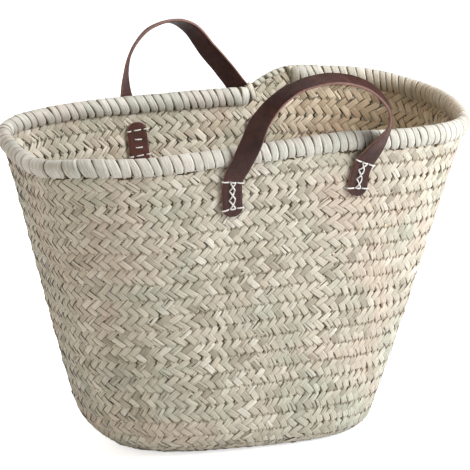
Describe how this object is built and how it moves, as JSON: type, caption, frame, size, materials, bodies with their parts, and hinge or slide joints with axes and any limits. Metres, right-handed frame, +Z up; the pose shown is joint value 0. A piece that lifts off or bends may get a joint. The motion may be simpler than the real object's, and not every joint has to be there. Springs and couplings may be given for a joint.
{
  "type": "straw basket bag",
  "caption": "Open woven straw market basket with a flat oval base, flaring sides, a wrapped rim roll and short leather strap handles.",
  "frame": {"origin": "on the floor under the middle of the bag's outer box", "axes": "+X along the length of the basket to the right end, +Y to the back, +Z up out of the mouth"},
  "size_m": [0.4732, 0.293, 0.4003],
  "materials": {
    "woven_straw": "matt plaited palm leaf with a faint sheen",
    "rim_straw": "smooth wrapped palm leaf with a faint sheen",
    "handle_leather": "semi-matt dark brown leather"
  },
  "bodies": {
    "root": {"basket_body": "woven_straw", "rim_binding": "rim_straw", "front_handle": "handle_leather", "back_handle": "handle_leather", "front_left_backing": "handle_leather", "front_right_backing": "handle_leather", "back_left_backing": "handle_leather", "back_right_backing": "handle_leather"}
  },
  "joints": []
}
